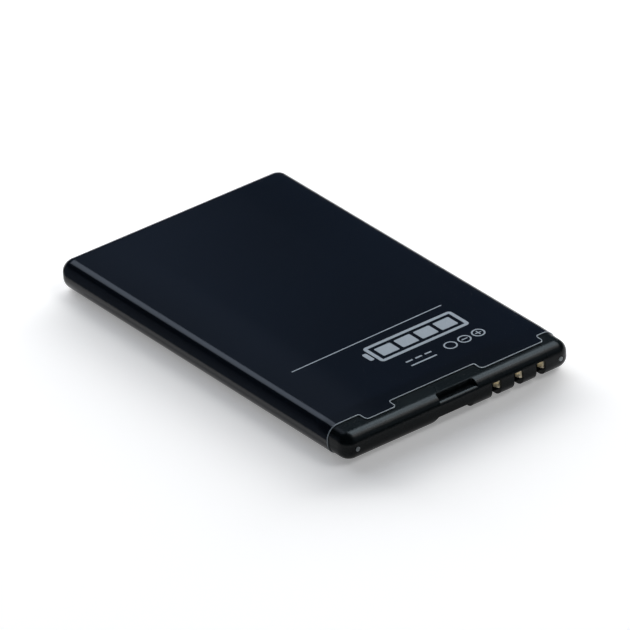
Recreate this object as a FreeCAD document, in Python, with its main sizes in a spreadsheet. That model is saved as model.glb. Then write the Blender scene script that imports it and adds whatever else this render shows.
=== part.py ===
import FreeCAD, Part
import math
import os

import Sketcher

# Slim rechargeable battery of a mobile phone, label side up.
# X runs across the width, Y from the contact end (-Y) to the far end (+Y), Z up from the surface it lies on.
# The origin is under the middle of the pack. Sizes are in millimetres.

doc = FreeCAD.newDocument("PhoneBattery")

SIZES = (
    # The pack as a whole
    ("pack_width", 35.0, "across the two long sides"),
    ("pack_length", 59.0, "contact end to far end"),
    ("pack_thickness", 4.0, "underside to label side"),
    ("corner_round", 1.85, "four corners seen from above"),
    ("top_round", 1.7, "rim of the label side"),
    ("bottom_round", 1.6, "rim of the underside"),
    ("head_depth", 5.7, "contact end to the lid of the cell"),
    ("head_fall", 0.2, "drop of the label side from the cell to the contact end"),
    ("fall_round", 15.0, "easing where that drop starts"),
    # Label film
    ("film", 0.1, "thickness of the label film"),
    ("glue", 0.02, "adhesive under the film and under laid pieces"),
    ("label_edge", 3.6, "contact end to the cut-back edge of the film"),
    ("tab_edge", 2.1, "contact end to the front edge of the film's two tabs"),
    ("tab_corner", 0.4, "rounding of a tab's four corners"),
    ("left_tab_margin", 5.0, "left side of the pack to the left tab"),
    ("left_tab_width", 4.4, "width of the left tab"),
    ("right_tab_margin", 2.9, "right side of the pack to the right tab"),
    ("right_tab_width", 9.5, "width of the right tab"),
    ("seam_gap", 0.15, "gap where the film's edges meet"),
    ("seam_reach", 1.0, "how far the seam is cut in from the side and the far end"),
    # Moulded head
    ("head_wall", 0.5, "upper and lower wall of the head"),
    ("head_side_wall", 0.8, "end wall and side walls of the head"),
    ("head_gap", 0.05, "head to the lid of the cell"),
    ("slot_margin", 4.24, "right side of the pack to the last contact slot"),
    ("slot_width", 1.42, "width of a contact slot"),
    ("slot_pitch", 3.42, "from one contact slot to the next"),
    ("slot_depth", 1.9, "depth of a contact slot"),
    ("slot_roof", 2.55, "roof of a contact slot above the surface"),
    ("slot_back", 0.5, "wall behind a contact slot"),
    ("latch_gap", 1.95, "latch pocket to the first contact slot"),
    ("latch_width", 5.8, "width of the latch pocket"),
    ("latch_depth", 1.33, "depth of the latch pocket"),
    ("latch_floor", 3.0, "floor of the latch pocket above the surface"),
    ("latch_corner", 0.3, "rounding of the latch pocket's two back corners"),
    ("latch_lip", 0.5, "rounding of the lip before the latch pocket's floor"),
    ("notch_gap", 2.85, "notch in the lower edge to the first contact slot"),
    ("notch_width", 5.35, "width of the notch"),
    ("notch_rise", 1.2, "roof of the notch above the surface"),
    ("notch_depth", 1.7, "depth of the notch"),
    ("pip_margin", 1.9, "side of the pack to the pip on the end face"),
    ("pip_level", 1.85, "height of the pips"),
    ("pip_radius", 0.3, "radius of a pip"),
    ("pip_height", 0.12, "how far a pip stands out"),
    ("pip_edge", 0.06, "chamfer of a pip's rim"),
    # Contact clips
    ("clip_wall", 0.15, "thickness of a clip"),
    ("clip_gap", 0.02, "clip to the walls of its slot"),
    ("clip_setback", 0.3, "front edge of a clip behind the end face"),
    ("clip_level", 1.4, "lower edge of a clip"),
    ("clip_bend", 0.25, "outer radius of a clip's bends"),
    ("blade", 0.26, "gap between a clip's arms where they pinch the phone's blade"),
    ("shoulder_gap", 0.4, "back of a clip to where its arms leave the walls"),
    ("pinch_gap", 0.4, "from there to the pinch, along the slot"),
    ("tail_width", 0.8, "solder tail of a clip"),
    ("tail_height", 0.5, "height of the solder tail"),
    ("window_gap", 0.05, "solder tail to its window"),
    # Protection board
    ("board_thickness", 0.6, "laminate of the board"),
    ("board_gap", 0.05, "board to the head"),
    ("part_gap", 0.02, "solder under a component"),
    ("cap_length", 0.22, "tinned end of a chip component"),
    ("cap_stand", 0.02, "how far that end stands out round the chip"),
    ("package_lead", 0.12, "thickness of a package's leads"),
    ("package_edge", 0.1, "chamfer round the top of a package"),
    # Cell
    ("can_edge", 0.4, "chamfer of the can's bottom rim"),
    ("gasket_radius", 1.3, "ring round the rivet"),
    ("gasket_depth", 0.3, "how deep the ring sits in the lid"),
    ("rivet_radius", 0.9, "head of the rivet"),
    ("shank_radius", 0.5, "shank of the rivet"),
    ("shank_length", 1.0, "length of the shank in the lid"),
    ("plug_radius", 0.5, "pin that closes the filling hole in the lid"),
    ("plug_length", 0.8, "length of that pin"),
    ("plug_lead", 0.15, "chamfer at the pin's inner end"),
    ("plug_place", 5.5, "pin to the right of the middle"),
    # Sheet, strips, cut-off and pads between the lid and the board
    ("sheet", 0.1, "insulating sheet on the lid"),
    ("sheet_margin", 1.4, "side of the lid to the sheet"),
    ("strip", 0.12, "thickness of the nickel strips"),
    ("strip_width", 2.0, "width of the nickel strips"),
    ("strip_bend", 0.7, "outer radius of a strip's bends"),
    ("strip_margin", 0.5, "bend of a strip to the side wall of the head"),
    ("solder_length", 2.6, "length of strip on the board"),
    ("weld_length", 3.4, "length of strip on the lid"),
    ("weld_gap", 0.3, "strip to the sheet's window"),
    ("fuse_length", 4.2, "thermal cut-off along the pack's width"),
    ("fuse_width", 2.3, "thermal cut-off across the pack's thickness"),
    ("fuse_thickness", 0.8, "thermal cut-off, thickness"),
    ("fuse_margin", 1.08, "soldered end of the negative strip to the thermal cut-off"),
    ("fuse_overlap", 3.4, "length of strip on the thermal cut-off"),
    ("foam_length", 3.2, "foam block along the pack's width"),
    ("foam_width", 2.2, "foam block across the pack's thickness"),
    # Far end
    ("cap_depth", 1.2, "moulded strip at the far end"),
    ("tape", 0.1, "tape between that strip and the can"),
    ("tape_margin", 3.5, "side of the pack to the end of the tape"),
    ("tape_width", 2.2, "width of the tape"),
)

# Components on the board from left to right: name, kind, length, width and height
COMPONENTS = (
    ("sense_resistor", "chip", 1.0, 0.55, 0.35),
    ("mosfet_pair", "package", 4.6, 1.9, 0.75),
    ("supply_resistor", "chip", 1.0, 0.55, 0.35),
    ("protection_ic", "package", 2.0, 1.7, 0.6),
    ("supply_capacitor", "chip", 1.0, 0.55, 0.5),
    ("filter_capacitor", "chip", 1.0, 0.55, 0.5),
    ("id_resistor", "chip", 1.6, 0.8, 0.45),
)

sizes = doc.addObject("Spreadsheet::Sheet", "Sizes")
for line, (alias, value, meaning) in enumerate(SIZES, start=1):
    sizes.set(f"A{line}", meaning)
    sizes.set(f"B{line}", str(value))
    sizes.setAlias(f"B{line}", alias)
for line, (node, kind, *numbers) in enumerate(COMPONENTS, start=len(SIZES) + 1):
    for column, extent, value in zip("BCD", ("length", "width", "height"), numbers):
        sizes.set(f"{column}{line}", str(value))
        sizes.setAlias(f"{column}{line}", f"{node}_{extent}")
doc.recompute()

# Places worked out from the sizes, from the contact end to the far end
SIDE = "(Sizes.pack_width / 2)"
FRONT = "(-Sizes.pack_length / 2)"
REAR = "(Sizes.pack_length / 2)"
TOP = "Sizes.pack_thickness"
SKIN = "(Sizes.film + Sizes.glue)"
LID = f"({FRONT} + Sizes.head_depth)"
LABEL_EDGE = f"({FRONT} + Sizes.label_edge)"
TAB_EDGE = f"({FRONT} + Sizes.tab_edge)"
SEAM = f"({TOP} / 2)"
SLOT_END = f"({FRONT} + Sizes.slot_depth)"
CAVITY_END = f"({SLOT_END} + Sizes.slot_back)"
BOARD_FRONT = f"({CAVITY_END} + Sizes.board_gap)"
BOARD_REAR = f"({BOARD_FRONT} + Sizes.board_thickness)"
SHEET_FRONT = f"({LID} - Sizes.sheet)"
CAP_FRONT = f"({REAR} - {SKIN} - Sizes.cap_depth)"
CAN_REAR = f"({CAP_FRONT} - Sizes.tape - 2 * Sizes.glue)"
CAVITY_SIDE = f"({SIDE} - {SKIN} - Sizes.head_side_wall)"
CAVITY_LOW = f"({SKIN} + Sizes.head_wall)"
CAVITY_HIGH = f"({TOP} - {SKIN} - Sizes.head_fall - Sizes.head_wall)"
MIDDLE = f"(({CAVITY_LOW} + {CAVITY_HIGH}) / 2)"

CONTACTS = ("contact_data", "contact_negative", "contact_positive")
STEPS = len(CONTACTS) - 1

# Places across the pack: the slots keep to the right side, and the latch pocket and the notch to the slots
SLOTS_RIGHT = f"({SIDE} - Sizes.slot_margin)"
SLOT_START = f"({SLOTS_RIGHT} - {STEPS} * Sizes.slot_pitch - Sizes.slot_width)"
LATCH_RIGHT = f"({SLOT_START} - Sizes.latch_gap)"
LATCH_LEFT = f"({LATCH_RIGHT} - Sizes.latch_width)"
NOTCH_RIGHT = f"({SLOT_START} - Sizes.notch_gap)"
NOTCH_LEFT = f"({NOTCH_RIGHT} - Sizes.notch_width)"
PIP_PLACE = f"({SIDE} - Sizes.pip_margin)"

# Nickel strips: where they bend back, and how far they lie on the board and on the lid
STRIP_OUTER = f"({CAVITY_SIDE} - Sizes.strip_margin)"
WELD_START = f"({STRIP_OUTER} - Sizes.strip_bend - Sizes.weld_length)"
SOLDER_START = f"({STRIP_OUTER} - Sizes.strip_bend - Sizes.solder_length)"
SOLDER_FACE = f"({BOARD_REAR} + Sizes.part_gap)"

# Room by which a cutting tool passes the piece it cuts
PAST = 1.0

# Two places nearer than this are one place
NEAR = 1e-6

# How far a face's normal leans up before the face counts as level, and below which it counts as upright
LEVEL = 0.9
UPRIGHT = 0.1


def number(expression):
    """Value of an expression of the sheet's sizes."""
    return float(sizes.evalExpression(str(expression)))


def bind(thing, **expressions):
    """Bind properties of an object to expressions; two underscores stand for a dot."""
    for prop, expression in expressions.items():
        thing.setExpression(prop.replace("__", "."), str(expression))


def new_body(name, base=None):
    """A body, on its own or continuing from another object's solid."""
    body = doc.addObject("PartDesign::Body", name)
    body.Label = name
    if base is not None:
        body.BaseFeature = base
    return body


def origin_part(body, role):
    """Plane or axis of a body's own origin."""
    return next(part for part in body.Origin.OriginFeatures if part.Role == role)


def new_sketch(body, name, role, offset="0"):
    """Empty sketch on one of the body's origin planes, moved along the plane's normal."""
    sketch = body.newObject("Sketcher::SketchObject", name)
    sketch.AttachmentSupport = [(origin_part(body, role), "")]
    sketch.MapMode = "FlatFace"
    bind(sketch, AttachmentOffset__Base__z=offset)
    return sketch


def place_point(sketch, line, end, name, across, along):
    """Hold one end of a sketch line at a distance from the sketch's origin."""
    for kind, letter, expression in (("DistanceX", "x", across), ("DistanceY", "y", along)):
        index = sketch.addConstraint(Sketcher.Constraint(kind, -1, 1, line, end, number(expression)))
        sketch.renameConstraint(index, f"{name}_{letter}")
        sketch.setExpression(f"Constraints.{name}_{letter}", str(expression))


def add_outline(sketch, points):
    """Closed outline through points, each a pair of expressions."""
    spots = [FreeCAD.Vector(number(across), number(along), 0) for across, along in points]
    first = sketch.GeometryCount
    count = len(points)
    for index in range(count):
        sketch.addGeometry(Part.LineSegment(spots[index], spots[(index + 1) % count]))
    for index in range(count):
        after = first + (index + 1) % count
        sketch.addConstraint(Sketcher.Constraint("Coincident", first + index, 2, after, 1))
    for index, (across, along) in enumerate(points):
        place_point(sketch, first + index, 1, f"p{first + index}", across, along)


def add_rectangle(sketch, left, right, low, high):
    """Rectangle between four expressions."""
    add_outline(sketch, ((left, low), (right, low), (right, high), (left, high)))


def add_circle(sketch, across, along, radius):
    """Circle whose middle and radius are expressions."""
    middle = FreeCAD.Vector(number(across), number(along), 0)
    index = sketch.addGeometry(Part.Circle(middle, FreeCAD.Vector(0, 0, 1), number(radius)))
    place_point(sketch, index, 3, f"c{index}", across, along)
    constraint = sketch.addConstraint(Sketcher.Constraint("Radius", index, number(radius)))
    sketch.renameConstraint(constraint, f"r{index}")
    sketch.setExpression(f"Constraints.r{index}", str(radius))


def pad(body, sketch, length, symmetric=False, backwards=False):
    """Raise a sketch into material."""
    feature = body.newObject("PartDesign::Pad", f"{sketch.Name}_pad")
    feature.Profile = sketch
    bind(feature, Length=length)
    feature.SideType = "Symmetric" if symmetric else "One side"
    feature.Reversed = backwards
    doc.recompute()
    return feature


def pocket(body, sketch, length, backwards=False):
    """Cut a sketch out of the material, and make sure that it cut something."""
    before = body.Shape.Volume
    feature = body.newObject("PartDesign::Pocket", f"{sketch.Name}_pocket")
    feature.Profile = sketch
    bind(feature, Length=length)
    feature.Reversed = backwards
    doc.recompute()
    if not body.Shape.Volume < before:
        raise RuntimeError(f"{feature.Name} cuts nothing")
    return feature


def face_lean(shape, edge):
    """Vertical part of the outward normal of each face that meets an edge, at the edge's middle."""
    middle = edge.valueAt((edge.FirstParameter + edge.LastParameter) / 2)
    leans = []
    for face in shape.ancestorsOfType(edge, Part.Face):
        across, along = face.Surface.parameter(middle)
        leans.append(face.normalAt(across, along).z)
    return sorted(leans)


def round_edges(body, name, radius, wanted):
    """Round the edges of the body's solid for which wanted(edge) holds."""
    base = body.Tip
    names = [f"Edge{index}" for index, edge in enumerate(base.Shape.Edges, start=1) if wanted(edge)]
    if not names:
        raise RuntimeError(f"{name} finds no edges")
    feature = body.newObject("PartDesign::Fillet", name)
    feature.Base = (base, names)
    bind(feature, Radius=radius)
    doc.recompute()
    return feature


def chamfer_edges(body, name, size, wanted):
    """Chamfer the edges of the body's solid for which wanted(edge) holds."""
    base = body.Tip
    names = [f"Edge{index}" for index, edge in enumerate(base.Shape.Edges, start=1) if wanted(edge)]
    if not names:
        raise RuntimeError(f"{name} finds no edges")
    feature = body.newObject("PartDesign::Chamfer", name)
    feature.Base = (base, names)
    bind(feature, Size=size)
    doc.recompute()
    return feature


def round_rim(body, name, radius, way):
    """Round the rim where the walls meet the faces that look up (way 1) or down (way -1)."""
    shape = body.Tip.Shape

    def on_rim(edge):
        leans = sorted(lean * way for lean in face_lean(shape, edge))
        return leans[1] > LEVEL and leans[0] < UPRIGHT
    return round_edges(body, name, radius, on_rim)


def is_upright(edge):
    """An edge that stands straight up."""
    ends = edge.Vertexes
    return len(ends) == 2 and ends[0].Point.sub(ends[1].Point).cross(FreeCAD.Vector(0, 0, 1)).Length < NEAR


def combine(kind, name, base, tool):
    """Common or cut of two objects, as an object of its own."""
    result = doc.addObject(f"Part::{kind}", name)
    result.Label = name
    result.Base = base
    result.Tool = tool
    doc.recompute()
    return result


def block(name, low, high):
    """Box between two corners, each three expressions."""
    box = doc.addObject("Part::Box", name)
    box.Label = name
    bind(box, Placement__Base__x=low[0], Placement__Base__y=low[1], Placement__Base__z=low[2])
    bind(box, Length=f"{high[0]} - {low[0]}", Width=f"{high[1]} - {low[1]}", Height=f"{high[2]} - {low[2]}")
    doc.recompute()
    return box


def slice_box(name, start, end):
    """Box that takes everything between two places along the pack."""
    wide = f"({SIDE} + {PAST})"
    return block(name, (f"-{wide}", start, f"-{PAST}"), (wide, end, f"({TOP} + {PAST})"))


def add_side_outline(sketch, inset):
    """Side view of the pack: flat over the cell, then easing into the fall towards the contact end."""
    low, high = inset, f"({TOP} - {inset})"
    end = f"({REAR} - {inset})"
    corners = ((FRONT, low), (end, low), (end, high), (LID, high), (FRONT, f"{high} - Sizes.head_fall"))
    spots = [FreeCAD.Vector(number(along), number(up), 0) for along, up in corners]
    front_top, easing_start = spots[4], spots[3]
    radius = number("Sizes.fall_round")
    middle = easing_start - FreeCAD.Vector(0, radius, 0)
    towards = front_top - middle
    turn = math.atan2(towards.y, towards.x) - math.acos(radius / towards.Length)
    easing_end = middle + FreeCAD.Vector(math.cos(turn), math.sin(turn), 0) * radius
    circle = Part.Circle(middle, FreeCAD.Vector(0, 0, 1), radius)
    underside, far_end, cell_side, easing, fall, contact_end = (sketch.addGeometry(piece) for piece in (
        Part.LineSegment(spots[0], spots[1]), Part.LineSegment(spots[1], spots[2]),
        Part.LineSegment(spots[2], easing_start), Part.ArcOfCircle(circle, math.pi / 2, turn),
        Part.LineSegment(easing_end, front_top), Part.LineSegment(front_top, spots[0])))
    corner_pairs = (
        (underside, far_end), (far_end, cell_side), (fall, contact_end), (contact_end, underside))
    for first, second in corner_pairs:
        sketch.addConstraint(Sketcher.Constraint("Coincident", first, 2, second, 1))
    sketch.addConstraint(Sketcher.Constraint("Tangent", cell_side, 2, easing, 1))
    sketch.addConstraint(Sketcher.Constraint("Tangent", easing, 2, fall, 1))
    bound = sketch.addConstraint(Sketcher.Constraint("Radius", easing, radius))
    sketch.renameConstraint(bound, "easing_radius")
    sketch.setExpression("Constraints.easing_radius", "Sizes.fall_round")
    for line, name, (along, up) in zip((underside, far_end, cell_side, contact_end),
                                       ("front_low", "rear_low", "rear_high", "front_high"),
                                       (corners[0], corners[1], corners[2], corners[4])):
        place_point(sketch, line, 1, name, along, up)
    place_point(sketch, cell_side, 2, "easing_start", LID, high)


def pack_form(name, inset):
    """Outer form of the pack, all but its contact end moved in by inset."""
    body = new_body(name)
    side = new_sketch(body, f"{name}_side", "YZ_Plane")
    add_side_outline(side, inset)
    pad(body, side, f"Sizes.pack_width - 2 * {inset}", symmetric=True)
    round_edges(body, f"{name}_corners", f"Sizes.corner_round - {inset}", is_upright)
    round_rim(body, f"{name}_top_rim", f"Sizes.top_round - {inset}", 1)
    round_rim(body, f"{name}_bottom_rim", f"Sizes.bottom_round - {inset}", -1)
    return body


def make_label():
    """Film folded round the pack, closed over the far end, with two tabs on the head."""
    outside = pack_form("label_outside", "0")
    skin = combine("Cut", "label_skin", outside, pack_form("label_inside", "Sizes.film"))
    cover = new_body("label_cover")
    whole = new_sketch(cover, "cover_plan", "XY_Plane", f"-{PAST}")
    add_rectangle(whole, f"-{SIDE} - {PAST}", f"{SIDE} + {PAST}", LABEL_EDGE, f"{REAR} + {PAST}")
    pad(cover, whole, f"{TOP} + 2 * {PAST}")
    tabs = new_sketch(cover, "cover_tabs", "XY_Plane", SEAM)
    left_tab = f"(Sizes.left_tab_margin - {SIDE})"
    right_tab = f"({SIDE} - Sizes.right_tab_margin)"
    back = f"{LABEL_EDGE} + {PAST}"
    add_rectangle(tabs, left_tab, f"{left_tab} + Sizes.left_tab_width", TAB_EDGE, back)
    add_rectangle(tabs, f"{right_tab} - Sizes.right_tab_width", right_tab, TAB_EDGE, back)
    pad(cover, tabs, f"{TOP} / 2 + {PAST}")
    edge_places = (number(LABEL_EDGE), number(TAB_EDGE))
    round_edges(cover, "cover_corners", "Sizes.tab_corner", lambda edge: (
        is_upright(edge) and min(abs(edge.Vertexes[0].Y - place) for place in edge_places) < NEAR
        and abs(edge.Vertexes[0].X) < number(SIDE) and max(end.Z for end in edge.Vertexes) > number(TOP)))
    laid = combine("Common", "label_laid", skin, cover)
    inner = f"({SIDE} - Sizes.seam_reach)"
    seam_top = f"({SEAM} + Sizes.seam_gap)"
    side_cut = block("seam_side", (inner, FRONT, SEAM),
                     (f"({SIDE} + {PAST})", f"({REAR} + {PAST})", seam_top))
    end_cut = block("seam_end", (f"(-{SIDE} - {PAST})", f"({REAR} - Sizes.seam_reach)", SEAM),
                    (f"({SIDE} + {PAST})", f"({REAR} + {PAST})", seam_top))
    seam = doc.addObject("Part::MultiFuse", "label_seam")
    seam.Shapes = [side_cut, end_cut]
    return combine("Cut", "label_wrap", laid, seam)


def slot_pattern(body, originals, name):
    """Repeat features for the three contact slots."""
    pattern = body.newObject("PartDesign::LinearPattern", name)
    pattern.Originals = originals
    pattern.Direction = (origin_part(body, "X_Axis"), [""])
    bind(pattern, Length=f"{STEPS} * Sizes.slot_pitch")
    pattern.Occurrences = len(CONTACTS)
    body.Tip = pattern
    doc.recompute()
    return pattern


def make_head(core):
    """Moulded head with its hollow, contact slots, latch pocket, notch and pips."""
    end = f"({LID} - Sizes.head_gap)"
    raw = combine("Common", "head_block", core, slice_box("head_room", f"({FRONT} - {PAST})", end))
    head = new_body("head_housing", raw)
    doc.recompute()
    # Hollow for the board, open towards the cell
    hollow = new_sketch(head, "hollow", "XZ_Plane", f"-{end}")
    add_rectangle(hollow, f"-{CAVITY_SIDE}", CAVITY_SIDE, CAVITY_LOW, CAVITY_HIGH)
    pocket(head, hollow, f"{end} - {CAVITY_END}", backwards=True)
    # Deeper hollow to the left of the latch pocket and to the right of the last slot
    deep = new_sketch(head, "deep_hollow", "XZ_Plane", f"-{CAVITY_END}")
    inner = f"({CAVITY_SIDE} - Sizes.head_side_wall)"
    add_rectangle(deep, f"-{inner}", f"{LATCH_LEFT} - 2 * Sizes.head_side_wall", CAVITY_LOW, CAVITY_HIGH)
    add_rectangle(deep, f"{SLOTS_RIGHT} + Sizes.head_side_wall", inner, CAVITY_LOW, CAVITY_HIGH)
    pocket(head, deep, f"{CAVITY_END} - {FRONT} - Sizes.head_side_wall", backwards=True)
    # Contact slots, open to the end and to the underside, each with a window for the clip's tail
    slot = new_sketch(head, "slot", "XZ_Plane", f"-{FRONT}")
    add_rectangle(slot, SLOT_START, f"{SLOT_START} + Sizes.slot_width", "0", "Sizes.slot_roof")
    slot_cut = pocket(head, slot, "Sizes.slot_depth")
    window = new_sketch(head, "window", "XZ_Plane", f"-{SLOT_END}")
    middle = f"({SLOT_START} + Sizes.slot_width / 2)"
    half = "(Sizes.tail_width / 2 + Sizes.window_gap)"
    add_rectangle(window, f"{middle} - {half}", f"{middle} + {half}",
                  "Sizes.clip_level - Sizes.window_gap",
                  "Sizes.clip_level + Sizes.tail_height + Sizes.window_gap")
    window_cut = pocket(head, window, "Sizes.slot_back")
    slot_pattern(head, [slot_cut, window_cut], "slots")
    # Latch pocket through the upper rim
    latch = new_sketch(head, "latch", "XZ_Plane", f"-{FRONT}")
    add_rectangle(latch, LATCH_LEFT, LATCH_RIGHT, "Sizes.latch_floor", f"{TOP} + {PAST}")
    pocket(head, latch, "Sizes.latch_depth")
    latch_back = number(f"{FRONT} + Sizes.latch_depth")
    latch_sides = (number(LATCH_LEFT), number(LATCH_RIGHT))
    round_edges(head, "latch_corners", "Sizes.latch_corner", lambda edge: (
        is_upright(edge) and abs(edge.Vertexes[0].Y - latch_back) < NEAR
        and min(abs(edge.Vertexes[0].X - side) for side in latch_sides) < NEAR))
    floor = number("Sizes.latch_floor")
    round_edges(head, "latch_lip", "Sizes.latch_lip", lambda edge: (
        all(abs(end.Z - floor) < NEAR for end in edge.Vertexes)
        and all(abs(end.Y - edge.Vertexes[0].Y) < NEAR and end.Y < latch_back - NEAR for end in edge.Vertexes)
        and {round(end.X, 6) for end in edge.Vertexes} == {round(side, 6) for side in latch_sides}))
    # Notch in the lower rim, its left end sloped
    notch = new_sketch(head, "notch", "XZ_Plane", f"-{FRONT}")
    add_outline(notch, (
        (f"{NOTCH_LEFT} - Sizes.notch_rise", "0"), (NOTCH_RIGHT, "0"),
        (NOTCH_RIGHT, "Sizes.notch_rise"), (NOTCH_LEFT, "Sizes.notch_rise"),
    ))
    pocket(head, notch, "Sizes.notch_depth")
    # Pips that hold the pack still in the phone
    pips = new_sketch(head, "pips", "XZ_Plane", f"-{FRONT}")
    add_circle(pips, f"-{PIP_PLACE}", "Sizes.pip_level", "Sizes.pip_radius")
    add_circle(pips, PIP_PLACE, "Sizes.pip_level", "Sizes.pip_radius")
    pad(head, pips, "Sizes.pip_height")
    pip_face = number(f"{FRONT} - Sizes.pip_height")
    chamfer_edges(head, "pip_rims", "Sizes.pip_edge",
                  lambda edge: all(abs(end.Y - pip_face) < NEAR for end in edge.Vertexes))
    return head


def u_outline(sketch, left, right, low, high, wall, opening):
    """Outline of a strip bent to a U that is open towards the left or the right."""
    in_left, in_right = f"({left} + {wall})", f"({right} - {wall})"
    in_low, in_high = f"({low} + {wall})", f"({high} - {wall})"
    if opening == "left":
        points = ((left, low), (right, low), (right, high), (left, high),
                  (left, in_high), (in_right, in_high), (in_right, in_low), (left, in_low))
    else:
        points = ((right, low), (right, in_low), (in_left, in_low), (in_left, in_high),
                  (right, in_high), (right, high), (left, high), (left, low))
    add_outline(sketch, points)


def round_bends(body, name, outer, wall, corners):
    """Round the bends of a strip at their outer and inner corners, given as places on the plan."""
    for layer, (radius, spots) in enumerate(zip((outer, f"{outer} - {wall}"), corners)):
        places = [(number(across), number(along)) for across, along in spots]
        round_edges(body, f"{name}_{layer}", radius, lambda edge: is_upright(edge) and any(
            abs(edge.Vertexes[0].X - across) < NEAR and abs(edge.Vertexes[0].Y - along) < NEAR
            for across, along in places))


def make_clip(name, index):
    """Fork contact in one slot: two arms that flare at the mouth, lean in to pinch the phone's blade and go
    back to the walls, joined at the back, with a tail to the board."""
    body = new_body(name)
    left = f"({SLOT_START} + {index} * Sizes.slot_pitch + Sizes.clip_gap)"
    right = f"({left} + Sizes.slot_width - 2 * Sizes.clip_gap)"
    low = f"({FRONT} + Sizes.clip_setback)"
    high = f"({SLOT_END} - Sizes.clip_gap)"
    wall = "Sizes.clip_wall"
    shoulder = f"({high} - Sizes.shoulder_gap)"
    reach = f"(({right} - {left} - Sizes.blade) / 2 - {wall})"
    arm = (("0", low), (reach, f"({shoulder} - Sizes.pinch_gap)"), ("0", shoulder))
    left_outer = [(f"({left} + {lean})", along) for lean, along in arm] + [(left, high)]
    right_outer = [(f"({right} - {lean})", along) for lean, along in arm] + [(right, high)]
    left_inner = [(f"({left} + {lean} + {wall})", along) for lean, along in arm]
    left_inner.append((f"({left} + {wall})", f"({high} - {wall})"))
    right_inner = [(f"({right} - {lean} - {wall})", along) for lean, along in arm]
    right_inner.append((f"({right} - {wall})", f"({high} - {wall})"))
    fold = new_sketch(body, f"{name}_fold", "XY_Plane", "Sizes.clip_level")
    add_outline(fold, left_outer + right_outer[::-1] + right_inner + left_inner[::-1])
    pad(body, fold, "Sizes.slot_roof - Sizes.clip_gap - Sizes.clip_level")
    bend = "Sizes.clip_bend"
    round_bends(body, f"{name}_bends", bend, wall, (
        left_outer[2:] + right_outer[2:] + [left_inner[1], right_inner[1]],
        left_inner[2:] + right_inner[2:] + [left_outer[1], right_outer[1]]))
    tail = new_sketch(body, f"{name}_tail", "XZ_Plane", f"-({high} - {wall} / 2)")
    middle = f"(({left} + {right}) / 2)"
    add_rectangle(tail, f"{middle} - Sizes.tail_width / 2", f"{middle} + Sizes.tail_width / 2",
                  "Sizes.clip_level", "Sizes.clip_level + Sizes.tail_height")
    pad(body, tail, f"{BOARD_FRONT} - {high} + {wall} / 2", backwards=True)
    return body


def make_board():
    """Strip of circuit board across the head."""
    side = f"({CAVITY_SIDE} - Sizes.board_gap)"
    return block("protection_board", (f"-{side}", BOARD_FRONT, f"({CAVITY_LOW} + Sizes.board_gap)"),
                 (side, BOARD_REAR, f"({CAVITY_HIGH} - Sizes.board_gap)"))


def component_places():
    """Middle of each component and of the foam block, spread evenly between the two nickel strips."""
    lengths = [f"Sizes.{entry[0]}_length" for entry in COMPONENTS] + ["Sizes.foam_length"]
    start, end = f"(-{SOLDER_START})", f"({WELD_START} - Sizes.weld_gap)"
    gap = f"(({end} - {start} - ({' + '.join(lengths)})) / {len(lengths) + 1})"
    places = []
    for index, length in enumerate(lengths):
        before = " + ".join([start] + lengths[:index])
        places.append(f"({before} + {index + 1} * {gap} + {length} / 2)")
    return places


def make_chip(name, place):
    """Chip component with a tinned cap on each end, its long side across the pack."""
    length, width, height = (f"Sizes.{name}_{extent}" for extent in ("length", "width", "height"))
    body = new_body(name)
    stand = "Sizes.cap_stand"
    base = new_sketch(body, f"{name}_base", "XZ_Plane", f"-({SOLDER_FACE} + {stand})")
    half = f"({length} / 2 - Sizes.cap_length / 2)"
    add_rectangle(base, f"{place} - {half}", f"{place} + {half}",
                  f"{MIDDLE} - {width} / 2 + {stand}", f"{MIDDLE} + {width} / 2 - {stand}")
    pad(body, base, f"{height} - 2 * {stand}", backwards=True)
    caps = new_sketch(body, f"{name}_caps", "XZ_Plane", f"-{SOLDER_FACE}")
    for start, end in ((f"{place} - {length} / 2", f"{place} - {length} / 2 + Sizes.cap_length"),
                       (f"{place} + {length} / 2 - Sizes.cap_length", f"{place} + {length} / 2")):
        add_rectangle(caps, start, end, f"{MIDDLE} - {width} / 2", f"{MIDDLE} + {width} / 2")
    pad(body, caps, height, backwards=True)
    return body


def make_package(name, place):
    """Moulded package with a chamfered top, on a foot of leads as wide as its own length."""
    length, width, height = (f"Sizes.{name}_{extent}" for extent in ("length", "width", "height"))
    body = new_body(name)
    mould = new_sketch(body, f"{name}_mould", "XZ_Plane", f"-({SOLDER_FACE} + Sizes.package_lead)")
    inner = f"({width} / 2 - Sizes.package_lead)"
    add_rectangle(mould, f"{place} - {length} / 2", f"{place} + {length} / 2",
                  f"{MIDDLE} - {inner}", f"{MIDDLE} + {inner}")
    pad(body, mould, f"{height} - Sizes.package_lead", backwards=True)
    top = number(f"{SOLDER_FACE} + {height}")
    chamfer_edges(body, f"{name}_edge", "Sizes.package_edge",
                  lambda edge: all(abs(end.Y - top) < NEAR for end in edge.Vertexes))
    foot = new_sketch(body, f"{name}_foot", "XZ_Plane", f"-{SOLDER_FACE}")
    reach = f"({length} / 2 - Sizes.package_lead)"
    add_rectangle(foot, f"{place} - {reach}", f"{place} + {reach}",
                  f"{MIDDLE} - {width} / 2", f"{MIDDLE} + {width} / 2")
    pad(body, foot, "Sizes.package_lead", backwards=True)
    return body


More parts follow.
